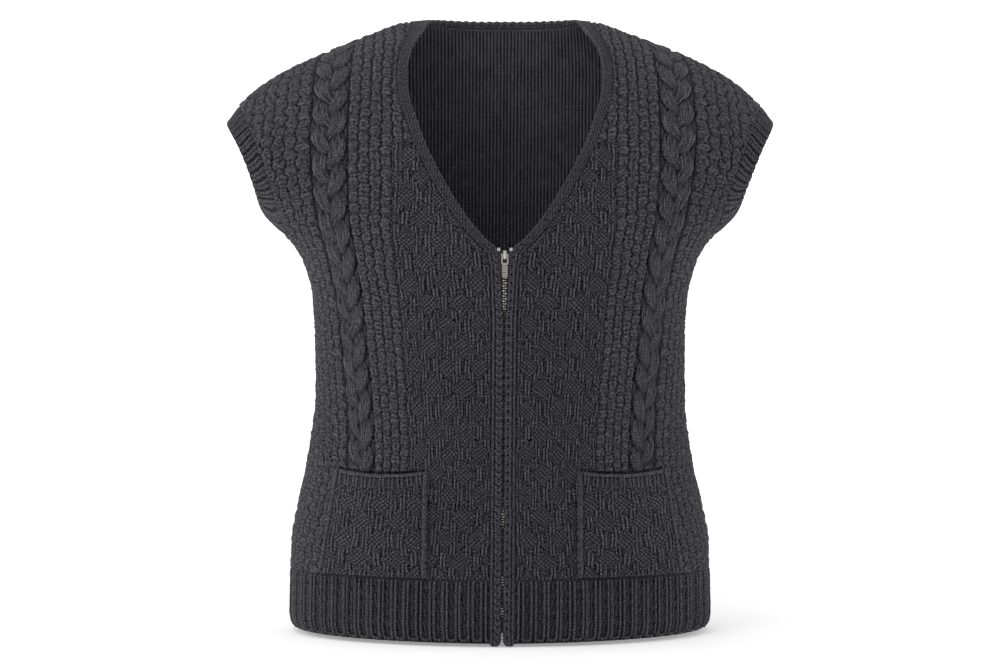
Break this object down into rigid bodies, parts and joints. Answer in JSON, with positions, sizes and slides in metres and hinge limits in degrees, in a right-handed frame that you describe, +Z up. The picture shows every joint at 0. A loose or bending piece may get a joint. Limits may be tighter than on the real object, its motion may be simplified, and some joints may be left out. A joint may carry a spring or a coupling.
{
  "type": "zip-up cardigan",
  "caption": "Knitted zip-up cardigan with short cap sleeves, a V neck, two patch pockets and a ribbed hem, filled out as if it were worn.",
  "frame": {"origin": "middle of the wearer's shoulder line, level with the high point of the shoulders, between the front and the back", "axes": "+Z up, the front faces -Y, +X to the wearer's left"},
  "size_m": [0.6, 0.2752, 0.6692],
  "materials": {
    "front_knit": "charcoal mélange wool-blend knit with cables, bead ribs and a raised all-over stitch",
    "back_knit": "charcoal mélange fine-ribbed knit",
    "hem_rib": "charcoal 2x2 rib",
    "cuff_rib": "charcoal rib turned over at its edge",
    "front_band": "charcoal narrow knitted band",
    "nape_band": "charcoal narrow knitted band",
    "pocket_knit": "charcoal raised all-over stitch with rolled borders",
    "zip_tape": "black woven tape",
    "zip_chain": "nickel-toned metal teeth",
    "zip_fittings": "nickel-toned metal, lightly worn",
    "zip_slider": "polished nickel",
    "pull_tab": "polished nickel, plain"
  },
  "bodies": {
    "cardigan": {"front_right": "front_knit", "front_left": "front_knit", "back": "back_knit", "hem_rib_front_right": "hem_rib", "hem_rib_front_left": "hem_rib", "hem_rib_back": "hem_rib", "cuff_right": "cuff_rib", "cuff_left": "cuff_rib", "band_right": "front_band", "band_left": "front_band", "band_back_neck": "nape_band", "pocket_right": "pocket_knit", "pocket_left": "pocket_knit", "zip_tape_right": "zip_tape", "zip_tape_left": "zip_tape", "zip_chain": "zip_chain", "zip_bottom_box": "zip_fittings", "zip_stop_right": "zip_fittings", "zip_stop_left": "zip_fittings", "zip_slider": "zip_slider"},
    "pull": {"pull_tab": "pull_tab"}
  },
  "joints": [
    {"name": "pull_swing", "type": "hinge", "parent": "cardigan", "child": "pull", "pos_m": [0.00503, -0.1513, -0.2565], "axis": [-1, 0, 0], "range_deg": [0, 150]}
  ]
}
